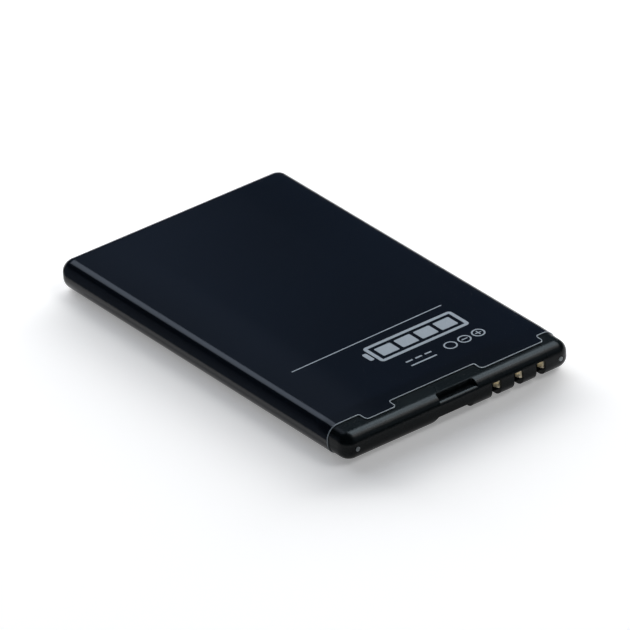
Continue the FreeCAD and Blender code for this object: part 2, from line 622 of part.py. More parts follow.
def make_strip(name, left, right, low, high, opening, long_side, long_end):
    """Nickel strip folded to a U between the board and the lid side, one leg longer than the other."""
    body = new_body(name)
    fold = new_sketch(body, f"{name}_fold", "XY_Plane", f"{MIDDLE} - Sizes.strip_width / 2")
    u_outline(fold, left, right, low, high, "Sizes.strip", opening)
    pad(body, fold, "Sizes.strip_width")
    bend_side, turn = (right, "-") if opening == "left" else (left, "+")
    wall = "Sizes.strip"
    outer = ((bend_side, low), (bend_side, high))
    inner_side = f"{bend_side} {turn} {wall}"
    inner = ((inner_side, f"{low} + {wall}"), (inner_side, f"{high} - {wall}"))
    round_bends(body, f"{name}_bends", "Sizes.strip_bend", wall, (outer, inner))
    leg = new_sketch(body, f"{name}_leg", "XY_Plane", f"{MIDDLE} - Sizes.strip_width / 2")
    add_rectangle(leg, long_side[0], long_side[1], f"{long_end} - {wall}", long_end)
    pad(body, leg, "Sizes.strip_width")
    return body


def make_cell(core):
    """Drawn can with its welded lid, and the holes for the rivet and the plug."""
    raw = combine("Common", "cell_block", core, slice_box("cell_room", LID, CAN_REAR))
    cell = new_body("sealed_cell", raw)
    doc.recompute()
    rear = number(CAN_REAR)
    chamfer_edges(cell, "can_bottom", "Sizes.can_edge",
                  lambda edge: all(abs(end.Y - rear) < NEAR for end in edge.Vertexes))
    recess = new_sketch(cell, "gasket_seat", "XZ_Plane", f"-{LID}")
    add_circle(recess, "0", MIDDLE, "Sizes.gasket_radius")
    pocket(cell, recess, "Sizes.gasket_depth")
    bore = new_sketch(cell, "rivet_bore", "XZ_Plane", f"-({LID} + Sizes.gasket_depth)")
    add_circle(bore, "0", MIDDLE, "Sizes.shank_radius + Sizes.glue")
    pocket(cell, bore, "Sizes.shank_length + Sizes.glue")
    filling = new_sketch(cell, "filling_hole", "XZ_Plane", f"-{LID}")
    add_circle(filling, "Sizes.plug_place", MIDDLE, "Sizes.plug_radius + Sizes.glue")
    pocket(cell, filling, "Sizes.plug_length + Sizes.glue")
    return cell


def disc(body, name, place, radius, length, across="0"):
    """Round step of a turned piece whose axis runs along the pack."""
    sketch = new_sketch(body, name, "XZ_Plane", f"-{place}")
    add_circle(sketch, across, MIDDLE, radius)
    return pad(body, sketch, length, backwards=True)


def make_gasket():
    """Ring between the rivet and the lid."""
    body = new_body("terminal_gasket")
    disc(body, "gasket_ring", LID, "Sizes.gasket_radius - Sizes.glue", "Sizes.gasket_depth - Sizes.glue")
    hole = new_sketch(body, "gasket_hole", "XZ_Plane", f"-{LID}")
    add_circle(hole, "0", MIDDLE, "Sizes.shank_radius + Sizes.glue")
    pocket(body, hole, "Sizes.gasket_depth")
    return body


def make_rivet():
    """Negative post: a head that carries the lead and a shank through the lid."""
    body = new_body("terminal_rivet")
    disc(body, "rivet_head", SHEET_FRONT, "Sizes.rivet_radius", "Sizes.sheet - Sizes.glue")
    disc(body, "rivet_shank", f"({LID} - Sizes.glue)", "Sizes.shank_radius",
         "Sizes.gasket_depth + Sizes.shank_length")
    return body


def make_plug():
    """Pin pressed into the filling hole, level with the lid and chamfered at its inner end."""
    body = new_body("fill_plug")
    disc(body, "plug_pin", LID, "Sizes.plug_radius", "Sizes.plug_length", "Sizes.plug_place")
    inner_end = number(f"{LID} + Sizes.plug_length")
    chamfer_edges(body, "plug_lead_in", "Sizes.plug_lead",
                  lambda edge: all(abs(end.Y - inner_end) < NEAR for end in edge.Vertexes))
    return body


def make_sheet():
    """Insulating sheet on the lid, with a hole for the rivet and a window for the welded strip."""
    body = new_body("lid_insulator")
    side = f"({SIDE} - {SKIN} - Sizes.sheet_margin)"
    plan = new_sketch(body, "sheet_plan", "XZ_Plane", f"-{SHEET_FRONT}")
    add_rectangle(plan, f"-{side}", side, CAVITY_LOW, CAVITY_HIGH)
    pad(body, plan, "Sizes.sheet - Sizes.glue", backwards=True)
    hole = new_sketch(body, "sheet_hole", "XZ_Plane", f"-{SHEET_FRONT}")
    add_circle(hole, "0", MIDDLE, "Sizes.rivet_radius + Sizes.glue")
    gap = "(Sizes.strip_width / 2 + Sizes.glue)"
    add_rectangle(hole, f"{WELD_START} - Sizes.weld_gap", f"{STRIP_OUTER} + Sizes.weld_gap",
                  f"{MIDDLE} - {gap}", f"{MIDDLE} + {gap}")
    pocket(body, hole, "Sizes.sheet")
    return body


core_form = pack_form("core_form", SKIN)
nodes = [make_label(), make_head(core_form)]
nodes += [make_clip(name, index) for index, name in enumerate(CONTACTS)]
nodes.append(make_board())
*chip_places, foam_place = component_places()
makers = {"chip": make_chip, "package": make_package}
nodes += [makers[kind](name, place) for (name, kind, *_), place in zip(COMPONENTS, chip_places)]

# Positive strip: from the lid at the right round to the board
lid_face = f"({LID} - Sizes.glue)"
nodes.append(make_strip("positive_tab", SOLDER_START, STRIP_OUTER, SOLDER_FACE, lid_face,
                        "left", (WELD_START, f"{SOLDER_START} + Sizes.strip"), lid_face))

# Negative side: rivet, lead, thermal cut-off, then the strip to the board
lead_face = f"({SHEET_FRONT} - Sizes.strip)"
fuse_face = f"({lead_face} - Sizes.glue - Sizes.fuse_thickness)"
fuse_left = f"(Sizes.fuse_margin - {SOLDER_START})"
fuse_right = f"({fuse_left} + Sizes.fuse_length)"
strip_low, strip_high = f"({MIDDLE} - Sizes.strip_width / 2)", f"({MIDDLE} + Sizes.strip_width / 2)"
nodes.append(block("fuse_lead", (f"({fuse_right} - Sizes.fuse_overlap)", lead_face, strip_low),
                   ("Sizes.rivet_radius", f"({SHEET_FRONT} - Sizes.glue)", strip_high)))
nodes.append(block("thermal_fuse", (fuse_left, fuse_face, f"({MIDDLE} - Sizes.fuse_width / 2)"),
                   (fuse_right, f"({lead_face} - Sizes.glue)", f"({MIDDLE} + Sizes.fuse_width / 2)")))
nodes.append(make_strip("negative_tab", f"-{STRIP_OUTER}", f"-{SOLDER_START}", SOLDER_FACE,
                        f"({fuse_face} - Sizes.glue)", "right",
                        (f"-{SOLDER_START} - Sizes.strip", f"{fuse_left} + Sizes.fuse_overlap"),
                        f"({fuse_face} - Sizes.glue)"))

nodes += [make_cell(core_form), make_gasket(), make_rivet(), make_plug(), make_sheet()]
nodes.append(block("foam_pad", (f"({foam_place} - Sizes.foam_length / 2)", f"({BOARD_REAR} + Sizes.glue)",
                                f"({MIDDLE} - Sizes.foam_width / 2)"),
                   (f"({foam_place} + Sizes.foam_length / 2)", f"({SHEET_FRONT} - Sizes.glue)",
                    f"({MIDDLE} + Sizes.foam_width / 2)")))
nodes.append(combine("Common", "rear_cap", core_form, slice_box("cap_room", CAP_FRONT, f"({REAR} + {PAST})")))
tape_end = f"({SIDE} - Sizes.tape_margin)"
nodes.append(block("rear_tape", (f"-{tape_end}", f"({CAN_REAR} + Sizes.glue)",
                                 f"({SEAM} - Sizes.tape_width / 2)"),
                   (tape_end, f"({CAP_FRONT} - Sizes.glue)", f"({SEAM} + Sizes.tape_width / 2)")))
doc.recompute()

for thing in doc.Objects:
    if "Invalid" in thing.State or "Error" in thing.State:
        raise RuntimeError(f"{thing.Name} failed: {thing.State}")
os.makedirs("parts", exist_ok=True)
for node in nodes:
    shape = node.Shape
    if shape.isNull() or not shape.isValid() or len(shape.Solids) != 1:
        raise RuntimeError(f"{node.Label} is not one sound solid")
    shape.exportStep(f"parts/{node.Label}.step")
    print(f"{node.Label}: {shape.Volume:.3f} mm3, {len(shape.Faces)} faces")
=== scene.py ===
import logging
import math
from collections.abc import Mapping, Sequence
from dataclasses import dataclass, field
from enum import Enum

import bmesh
import bpy
from mathutils import Matrix, Vector


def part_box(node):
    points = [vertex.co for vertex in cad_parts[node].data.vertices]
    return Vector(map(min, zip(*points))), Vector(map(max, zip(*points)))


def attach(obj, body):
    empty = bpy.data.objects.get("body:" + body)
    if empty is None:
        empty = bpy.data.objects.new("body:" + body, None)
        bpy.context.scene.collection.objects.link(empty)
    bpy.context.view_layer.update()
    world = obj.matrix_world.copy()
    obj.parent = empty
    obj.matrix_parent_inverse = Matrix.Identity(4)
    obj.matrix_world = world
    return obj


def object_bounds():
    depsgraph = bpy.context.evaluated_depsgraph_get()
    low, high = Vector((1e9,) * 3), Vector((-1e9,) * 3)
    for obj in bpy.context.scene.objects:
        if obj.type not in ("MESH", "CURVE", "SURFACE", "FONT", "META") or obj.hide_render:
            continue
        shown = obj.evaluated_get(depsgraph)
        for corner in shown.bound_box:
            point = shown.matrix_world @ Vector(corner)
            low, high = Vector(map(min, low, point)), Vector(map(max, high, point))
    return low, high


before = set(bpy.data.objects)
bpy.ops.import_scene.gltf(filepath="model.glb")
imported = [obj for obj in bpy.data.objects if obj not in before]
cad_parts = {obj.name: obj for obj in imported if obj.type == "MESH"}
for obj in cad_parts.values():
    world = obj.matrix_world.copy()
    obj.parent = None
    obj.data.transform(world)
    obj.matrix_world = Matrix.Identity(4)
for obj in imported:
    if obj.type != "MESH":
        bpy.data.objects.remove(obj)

# A slim rechargeable phone battery, label side up, on a pale studio floor.
# X runs across the pack, Y from the contact end to the far end, Z up.
# Sizes are in millimetres, which MM turns into Blender's metres, apart from those said to be in metres.

CAD_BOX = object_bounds()
PACK_LOW, PACK_HIGH = CAD_BOX
MM = 0.001
LOG = logging.getLogger("phone_battery")

# The wave texture goes through this many radians in one unit of its scale.
WAVE_RADIANS = 20
# The Mix node's colour sockets, which share their names with its number and vector sockets.
MIX_FIRST, MIX_SECOND, MIX_RESULT = 6, 7, 2

Feed = bpy.types.Node | bpy.types.NodeSocket | float | Sequence[float]
Links = Mapping[str | int, Feed]


def linear(code: str) -> tuple[float, float, float, float]:
    """Turn an sRGB hex colour into the linear colour that a shader takes.

    Args:
        code: The colour as six hex digits after a hash sign.

    Returns:
        Red, green, blue and an alpha of one.
    """
    parts = [int(code[start:start + 2], 16) / 255 for start in (1, 3, 5)]
    red, green, blue = (
        part / 12.92 if part <= 0.04045 else ((part + 0.055) / 1.055) ** 2.4 for part in parts)
    return red, green, blue, 1.0


def per_mm(size: float) -> float:
    """Give the texture scale at which one feature is size millimetres wide."""
    return 1.0 / (size * MM)


def per_wave(size: float) -> float:
    """Give the wave texture's scale at which one band is size millimetres wide."""
    return per_mm(size) * math.tau / WAVE_RADIANS


def add_node(tree: bpy.types.NodeTree, kind: str, links: Links | None = None,
             **settings: str) -> bpy.types.Node:
    """Add a node to a tree, with its settings, socket values and links.

    Args:
        tree: The node tree that gets the node.
        kind: The node's type.
        links: Input socket to a value, to the output socket that feeds it, or to a node whose first output
            does.
        **settings: The node's own properties.

    Returns:
        The new node.
    """
    node = tree.nodes.new(kind)
    for name, value in settings.items():
        setattr(node, name, value)
    for socket, value in (links or {}).items():
        if isinstance(value, bpy.types.Node):
            value = value.outputs[0]
        if isinstance(value, bpy.types.NodeSocket):
            tree.links.new(value, node.inputs[socket])
        else:
            node.inputs[socket].default_value = value
    return node


@dataclass(frozen=True)
class Finish:
    """A surface finish. Each kind of finish wires its own nodes."""

    name: str

    def wire(self, tree: bpy.types.NodeTree, place: bpy.types.NodeSocket) -> dict[str, Feed]:
        """Build the finish's patterns.

        Args:
            tree: The material's node tree.
            place: The piece's own coordinates, in metres.

        Returns:
            The shader's sockets and what feeds them.
        """
        raise NotImplementedError

    def material(self) -> bpy.types.Material:
        """Make the material of this finish, if it isn't there yet.

        Returns:
            The material that bears the finish's name.
        """
        made = bpy.data.materials.get(self.name)
        if made is not None:
            return made
        made = bpy.data.materials.new(self.name)
        made.use_nodes = True
        tree = made.node_tree
        tree.nodes.clear()
        place = add_node(tree, "ShaderNodeTexCoord").outputs["Object"]
        shader = add_node(tree, "ShaderNodeBsdfPrincipled", self.wire(tree, place))
        add_node(tree, "ShaderNodeOutputMaterial", {"Surface": shader})
        return made


@dataclass(frozen=True)
class PrintedFilm(Finish):
    """Polyester film, printed navy on its back and laid with a satin varnish.

    The eye sees a deep navy with a soft sheen, clouded a little where the ink lies thicker, and a peel so
    faint that it only softens what the film mirrors. Along both long edges a soft crown, where the film
    leaves the flat of the can, draws the light out into a broad streak, and the sides look rolled.
    """

    ink: str = "#0b121c"
    ink_deep: str = "#060a11"
    roughness: float = 0.16
    roughness_spread: float = 0.02
    specular: float = 0.36
    # The crown ends this far from the pack's middle, and is this wide.
    crown_end: float = 16.2
    crown_width: float = 8.0
    crown_depth: float = 0.34
    # The sides roll between these two heights.
    roll_low: float = 1.4
    roll_high: float = 3.4
    roll_depth: float = 0.58
    cloud: float = 22.0
    rub: float = 11.0
    peel: float = 0.7
    peel_depth: float = 0.0004

    def wire(self, tree: bpy.types.NodeTree, place: bpy.types.NodeSocket) -> dict[str, Feed]:
        """Build the ink's clouding, the varnish's rub and peel, the crown and the rolled sides.

        Args:
            tree: The material's node tree.
            place: The film's own coordinates, in metres.

        Returns:
            The shader's sockets and what feeds them.
        """
        clouds = add_node(tree, "ShaderNodeTexNoise", {"Vector": place, "Scale": per_mm(self.cloud)})
        rubbed = add_node(tree, "ShaderNodeTexNoise", {"Vector": place, "Scale": per_mm(self.rub)})
        peel = add_node(tree, "ShaderNodeTexNoise", {"Vector": place, "Scale": per_mm(self.peel)})
        spot = add_node(tree, "ShaderNodeSeparateXYZ", {"Vector": place}).outputs
        away = add_node(tree, "ShaderNodeMath", {0: spot["X"]}, operation="ABSOLUTE")
        near_edge = add_node(tree, "ShaderNodeMapRange", {
            "Value": away, "From Min": (self.crown_end - self.crown_width) * MM,
            "From Max": self.crown_end * MM})
        drop = add_node(tree, "ShaderNodeMath", {0: near_edge, 1: 2.0}, operation="POWER")
        crown = add_node(tree, "ShaderNodeMath", {0: 1.0, 1: drop}, operation="SUBTRACT")
        roll = add_node(tree, "ShaderNodeMapRange", {
            "Value": spot["Z"], "From Min": self.roll_low * MM, "From Max": self.roll_high * MM,
            "To Min": 1.0, "To Max": 0.0}, interpolation_type="SMOOTHSTEP")
        crowned = add_node(tree, "ShaderNodeBump", {"Height": crown, "Distance": self.crown_depth * MM})
        rolled = add_node(tree, "ShaderNodeBump", {
            "Height": roll, "Distance": self.roll_depth * MM, "Normal": crowned})
        inked = add_node(tree, "ShaderNodeMix", {
            "Factor": clouds, MIX_FIRST: linear(self.ink), MIX_SECOND: linear(self.ink_deep)},
            data_type="RGBA")
        return {
            "Base Color": inked.outputs[MIX_RESULT],
            "Roughness": add_node(tree, "ShaderNodeMapRange", {
                "Value": rubbed, "To Min": self.roughness - self.roughness_spread,
                "To Max": self.roughness + self.roughness_spread}),
            "Specular IOR Level": self.specular,
            "Normal": add_node(tree, "ShaderNodeBump", {
                "Height": peel, "Distance": self.peel_depth * MM, "Normal": rolled}),
        }


@dataclass(frozen=True)
class CutFilm(Finish):
    """The cut through the clear polyester under the print.

    The eye sees a thin pale line with a satin gloss wherever the knife went through the film.
    """

    colour: str = "#b4bec4"
    colour_deep: str = "#98a3aa"
    roughness: float = 0.35
    drag: float = 0.3

    def wire(self, tree: bpy.types.NodeTree, place: bpy.types.NodeSocket) -> dict[str, Feed]:
        """Build the marks that the knife's drag leaves along the cut.

        Args:
            tree: The material's node tree.
            place: The cut's own coordinates, in metres.

        Returns:
            The shader's sockets and what feeds them.
        """
        marks = add_node(tree, "ShaderNodeTexNoise", {"Vector": place, "Scale": per_mm(self.drag)})
        dragged = add_node(tree, "ShaderNodeMix", {
            "Factor": marks, MIX_FIRST: linear(self.colour), MIX_SECOND: linear(self.colour_deep)},
            data_type="RGBA")
        return {"Base Color": dragged.outputs[MIX_RESULT], "Roughness": self.roughness}


@dataclass(frozen=True)
class MouldedPlastic(Finish):
    """Polycarbonate moulded in a spark-eroded tool.

    The eye sees a satin black with a fine even grain that breaks up the light along its round edges.
    """

    colour: str = "#080e10"
    colour_raised: str = "#0b1315"
    roughness: float = 0.27
    roughness_spread: float = 0.05
    specular: float = 0.15
    # Real spark grain is a few hundredths of a millimetre. It is drawn as coarse as it needs to show.
    grain: float = 0.16
    grain_detail: float = 4.0
    grain_depth: float = 0.004
    patch: float = 3.2

    def wire(self, tree: bpy.types.NodeTree, place: bpy.types.NodeSocket) -> dict[str, Feed]:
        """Build the tool's grain, and the patches in which it took more or less sharply.

        Args:
            tree: The material's node tree.
            place: The piece's own coordinates, in metres.

        Returns:
            The shader's sockets and what feeds them.
        """
        grain = add_node(tree, "ShaderNodeTexNoise", {
            "Vector": place, "Scale": per_mm(self.grain), "Detail": self.grain_detail})
        patches = add_node(tree, "ShaderNodeTexNoise", {"Vector": place, "Scale": per_mm(self.patch)})
        grained = add_node(tree, "ShaderNodeMix", {
            "Factor": grain, MIX_FIRST: linear(self.colour), MIX_SECOND: linear(self.colour_raised)},
            data_type="RGBA")
        return {
            "Base Color": grained.outputs[MIX_RESULT],
            "Roughness": add_node(tree, "ShaderNodeMapRange", {
                "Value": patches, "To Min": self.roughness - self.roughness_spread,
                "To Max": self.roughness + self.roughness_spread}),
            "Specular IOR Level": self.specular,
            "Normal": add_node(tree, "ShaderNodeBump", {"Height": grain, "Distance": self.grain_depth * MM}),
        }


@dataclass(frozen=True)
class GlintedPlastic(MouldedPlastic):
    """The head's polycarbonate, with two small pips standing out of the end face.

    The eye sees the same satin black. The end of each pip is coloured pale, a painted glint that stands in
    for the highlight the pips catch.
    """

    # Painted glint: the pale colour on the pips' ends, and how far back from the end face it reaches, in
    # millimetres.
    pip_glint: str = "#a4abad"
    glint_reach: float = 0.1

    def wire(self, tree: bpy.types.NodeTree, place: bpy.types.NodeSocket) -> dict[str, Feed]:
        """Paint a glint on the ends of the pips, which are all that stands out of the end face.

        Args:
            tree: The material's node tree.
            place: The piece's own coordinates, in metres.

        Returns:
            The shader's sockets and what feeds them.
        """
        links = super().wire(tree, place)
        along = add_node(tree, "ShaderNodeSeparateXYZ", {"Vector": place}).outputs["Y"]
        # Painted glint: only the pips' ends lie this close to the end face, and they are coloured pale in
        # place of their highlight.
        pip = add_node(tree, "ShaderNodeMath", {
            0: along, 1: PACK_LOW.y + self.glint_reach * MM}, operation="LESS_THAN")
        glinted = add_node(tree, "ShaderNodeMix", {
            "Factor": pip, MIX_FIRST: links["Base Color"], MIX_SECOND: linear(self.pip_glint)}, data_type="RGBA")
        links["Base Color"] = glinted.outputs[MIX_RESULT]
        return links


@dataclass(frozen=True)
class RolledStrip(Finish):
    """Rolled metal strip, bare or plated.

    The eye sees a bright metal whose fine rolling lines stretch its reflections across them.
    """

    colour: str = "#bdbab2"
    colour_deep: str = "#a8a59d"
    roughness: float = 0.33
    roughness_spread: float = 0.06
    cloud: float = 0.6
    # Real rolling lines lie a hundredth of a millimetre apart, and are drawn as coarse as they need to show.
    line: float = 0.05
    line_stretch: float = 25.0
    line_depth: float = 0.0015

    def wire(self, tree: bpy.types.NodeTree, place: bpy.types.NodeSocket) -> dict[str, Feed]:
        """Build the rolling lines and the metal's faint clouding.

        Args:
            tree: The material's node tree.
            place: The piece's own coordinates, in metres.

        Returns:
            The shader's sockets and what feeds them.
        """
        rolled = add_node(tree, "ShaderNodeMapping", {
            "Vector": place, "Scale": (1 / self.line_stretch, 1 / self.line_stretch, 1.0)})
        lines = add_node(tree, "ShaderNodeTexNoise", {"Vector": rolled, "Scale": per_mm(self.line)})
        clouds = add_node(tree, "ShaderNodeTexNoise", {"Vector": place, "Scale": per_mm(self.cloud)})
        metal = add_node(tree, "ShaderNodeMix", {
            "Factor": clouds, MIX_FIRST: linear(self.colour), MIX_SECOND: linear(self.colour_deep)},
            data_type="RGBA")
        return {
            "Base Color": metal.outputs[MIX_RESULT],
            "Metallic": 1.0,
            "Roughness": add_node(tree, "ShaderNodeMapRange", {
                "Value": lines, "To Min": self.roughness - self.roughness_spread,
                "To Max": self.roughness + self.roughness_spread}),
            "Normal": add_node(tree, "ShaderNodeBump", {"Height": lines, "Distance": self.line_depth * MM}),
        }


@dataclass(frozen=True)
class CoinedContact(RolledStrip):
    """Gold-plated spring strip, coined with small dimples where it touches.

    The eye sees champagne gold that breaks into bright and brown glints as the dimples turn.
    """

    colour: str = "#fff9ea"
    colour_deep: str = "#f3e2b8"
    roughness: float = 0.29
    # Real coining marks are about a tenth of a millimetre. They are drawn as coarse as they need to show.
    dimple: float = 0.36
    dimple_depth: float = 0.13

    def wire(self, tree: bpy.types.NodeTree, place: bpy.types.NodeSocket) -> dict[str, Feed]:
        """Add the dimples to the plated strip.

        Args:
            tree: The material's node tree.
            place: The contact's own coordinates, in metres.

        Returns:
            The shader's sockets and what feeds them.
        """
        links = super().wire(tree, place)
        dimples = add_node(tree, "ShaderNodeTexNoise", {"Vector": place, "Scale": per_mm(self.dimple)})
        links["Normal"] = add_node(tree, "ShaderNodeBump", {
            "Height": dimples, "Distance": self.dimple_depth * MM, "Normal": links["Normal"]})
        return links


@dataclass(frozen=True)
class DrawnAluminium(Finish):
    """Deep-drawn aluminium with a laser-welded lid.

    The eye sees pale metal with lines along the draw and a darker seam of weld ripples beside the lid.
    """

    colour: str = "#c9cbcd"
    roughness: float = 0.36
    roughness_spread: float = 0.06
    # Real drawing lines are as fine as rolling lines, and are drawn as coarse as they need to show.
    line: float = 0.05
    line_stretch: float = 25.0
    line_depth: float = 0.0015
    weld_colour: str = "#8d9093"
    # The place of the lid's face along Y, in metres, and how far the weld reaches behind it.
    lid_place: float = 0.0
    weld_width: float = 0.5
    ripple: float = 0.12
    ripple_waver: float = 1.5
    ripple_depth: float = 0.01

    def wire(self, tree: bpy.types.NodeTree, place: bpy.types.NodeSocket) -> dict[str, Feed]:
        """Build the drawing lines, and the weld that runs round the lid.

        Args:
            tree: The material's node tree.
            place: The can's own coordinates, in metres.

        Returns:
            The shader's sockets and what feeds them.
        """
        drawn = add_node(tree, "ShaderNodeMapping", {
            "Vector": place, "Scale": (1.0, 1 / self.line_stretch, 1.0)})
        lines = add_node(tree, "ShaderNodeTexNoise", {"Vector": drawn, "Scale": per_mm(self.line)})
        along = add_node(tree, "ShaderNodeSeparateXYZ", {"Vector": place}).outputs["Y"]
        weld = add_node(tree, "ShaderNodeMath", {
            0: along, 1: self.lid_place + self.weld_width * MM}, operation="LESS_THAN")
        ripples = add_node(tree, "ShaderNodeTexWave", {
            "Vector": place, "Scale": per_wave(self.ripple), "Distortion": self.ripple_waver},
            bands_direction="X")
        seam = add_node(tree, "ShaderNodeMath", {0: weld, 1: ripples.outputs["Fac"]}, operation="MULTIPLY")
        relief = add_node(tree, "ShaderNodeBump", {"Height": lines, "Distance": self.line_depth * MM})
        metal = add_node(tree, "ShaderNodeMix", {
            "Factor": weld, MIX_FIRST: linear(self.colour), MIX_SECOND: linear(self.weld_colour)},
            data_type="RGBA")
        return {
            "Base Color": metal.outputs[MIX_RESULT],
            "Metallic": 1.0,
            "Roughness": add_node(tree, "ShaderNodeMapRange", {
                "Value": lines, "To Min": self.roughness - self.roughness_spread,
                "To Max": self.roughness + self.roughness_spread}),
            "Normal": add_node(tree, "ShaderNodeBump", {
                "Height": seam, "Distance": self.ripple_depth * MM, "Normal": relief}),
        }


@dataclass(frozen=True)
class ScreenInk(Finish):
    """Silver-grey screen ink.

    The eye sees a flat pale grey with the faint mottle of pigment flakes.
    """

    colour: str = "#a3abb3"
    colour_deep: str = "#8f979f"
    roughness: float = 0.5
    metallic: float = 0.2
    # Real flakes are a few hundredths of a millimetre. They are drawn as coarse as they need to show.
    flake: float = 0.08
    flake_contrast: float = 0.8
    mesh: float = 0.12
    mesh_depth: float = 0.002

    def wire(self, tree: bpy.types.NodeTree, place: bpy.types.NodeSocket) -> dict[str, Feed]:
        """Build the flakes and the print of the screen's mesh.

        Args:
            tree: The material's node tree.
            place: The print's own coordinates, in metres.

        Returns:
            The shader's sockets and what feeds them.
        """
        flakes = add_node(tree, "ShaderNodeTexVoronoi", {"Vector": place, "Scale": per_mm(self.flake)})
        mottle = add_node(tree, "ShaderNodeMapRange", {"Value": flakes, "To Max": self.flake_contrast})
        mesh = add_node(tree, "ShaderNodeTexNoise", {"Vector": place, "Scale": per_mm(self.mesh)})
        ink = add_node(tree, "ShaderNodeMix", {
            "Factor": mottle, MIX_FIRST: linear(self.colour), MIX_SECOND: linear(self.colour_deep)},
            data_type="RGBA")
        return {
            "Base Color": ink.outputs[MIX_RESULT],
            "Roughness": self.roughness,
            "Metallic": self.metallic,
            "Normal": add_node(tree, "ShaderNodeBump", {"Height": mesh, "Distance": self.mesh_depth * MM}),
        }


@dataclass(frozen=True)
class GlassLaminate(Finish):
    """Woven glass and epoxy board under green solder resist.

    The eye sees glossy green with the cloth's weave under it, and straw-coloured cloth along the cut edges.
    """

    resist: str = "#0f4a2a"
    resist_pale: str = "#17603a"
    roughness: float = 0.28
    cut: str = "#a3966a"
    cut_roughness: float = 0.8
    # A face whose normal has less than this along Y is a cut edge of the board.
    cut_limit: float = 0.5
    thread: float = 0.4
    thread_waver: float = 0.4
    weave_depth: float = 0.004

    def wire(self, tree: bpy.types.NodeTree, place: bpy.types.NodeSocket) -> dict[str, Feed]:
        """Build the weave from two sets of threads, and show the bare cloth on the cut edges.

        Args:
            tree: The material's node tree.
            place: The board's own coordinates, in metres.

        Returns:
            The shader's sockets and what feeds them.
        """
        threads = [add_node(tree, "ShaderNodeTexWave", {
            "Vector": place, "Scale": per_wave(self.thread), "Distortion": self.thread_waver},
            bands_direction=way).outputs["Fac"] for way in ("X", "Z")]
        weave = add_node(tree, "ShaderNodeMath", dict(enumerate(threads)), operation="MULTIPLY")
        normal = add_node(tree, "ShaderNodeNewGeometry").outputs["True Normal"]
        lean = add_node(tree, "ShaderNodeSeparateXYZ", {"Vector": normal}).outputs["Y"]
        facing = add_node(tree, "ShaderNodeMath", {0: lean}, operation="ABSOLUTE")
        edge = add_node(tree, "ShaderNodeMath", {0: facing, 1: self.cut_limit}, operation="LESS_THAN")
        green = add_node(tree, "ShaderNodeMix", {
            "Factor": weave, MIX_FIRST: linear(self.resist), MIX_SECOND: linear(self.resist_pale)},
            data_type="RGBA")
        board = add_node(tree, "ShaderNodeMix", {
            "Factor": edge, MIX_FIRST: green.outputs[MIX_RESULT], MIX_SECOND: linear(self.cut)},
            data_type="RGBA")
        return {
            "Base Color": board.outputs[MIX_RESULT],
            "Roughness": add_node(tree, "ShaderNodeMapRange", {
                "Value": edge, "To Min": self.roughness, "To Max": self.cut_roughness}),
            "Normal": add_node(tree, "ShaderNodeBump", {"Height": weave, "Distance": self.weave_depth * MM}),
        }


@dataclass(frozen=True)
class MouldedChip(Finish):
    """Glass-filled epoxy moulded round a chip, with tinned leads at both ends.

    The eye sees a dull grey-black body with a fine grit, and pale metal at its foot along two sides.
    """

    # The place of the chip's foot along Y, in metres.
    foot: float = 0.0
    body: str = "#1a1a1c"
    body_pale: str = "#26262a"
    roughness: float = 0.6
    grit: float = 0.06
    grit_detail: float = 3.0
    grit_depth: float = 0.004
    lead: str = "#c4c4c2"
    lead_roughness: float = 0.35
    lead_pitch: float = 0.65
    lead_share: float = 0.45
    lead_height: float = 0.12

    def wire(self, tree: bpy.types.NodeTree, place: bpy.types.NodeSocket) -> dict[str, Feed]:
        """Build the grit, and show a row of leads at the foot of the two long sides.

        Args:
            tree: The material's node tree.
            place: The chip's own coordinates, in metres.

        Returns:
            The shader's sockets and what feeds them.
        """
        grit = add_node(tree, "ShaderNodeTexNoise", {
            "Vector": place, "Scale": per_mm(self.grit), "Detail": self.grit_detail})
        spot = add_node(tree, "ShaderNodeSeparateXYZ", {"Vector": place}).outputs
        foot = add_node(tree, "ShaderNodeMath", {
            0: spot["Y"], 1: self.foot + self.lead_height * MM}, operation="LESS_THAN")
        steps = add_node(tree, "ShaderNodeMath", {
            0: spot["X"], 1: per_mm(self.lead_pitch)}, operation="MULTIPLY")
        row = add_node(tree, "ShaderNodeMath", {0: steps}, operation="FRACT")
        metal = add_node(tree, "ShaderNodeMath", {0: row, 1: self.lead_share}, operation="LESS_THAN")
        leads = add_node(tree, "ShaderNodeMath", {0: foot, 1: metal}, operation="MULTIPLY")
        epoxy = add_node(tree, "ShaderNodeMix", {
            "Factor": grit, MIX_FIRST: linear(self.body), MIX_SECOND: linear(self.body_pale)},
            data_type="RGBA")
        chip = add_node(tree, "ShaderNodeMix", {
            "Factor": leads, MIX_FIRST: epoxy.outputs[MIX_RESULT], MIX_SECOND: linear(self.lead)},
            data_type="RGBA")
        return {
            "Base Color": chip.outputs[MIX_RESULT],
            "Metallic": leads,
            "Roughness": add_node(tree, "ShaderNodeMapRange", {
                "Value": leads, "To Min": self.roughness, "To Max": self.lead_roughness}),
            "Normal": add_node(tree, "ShaderNodeBump", {"Height": grit, "Distance": self.grit_depth * MM}),
        }


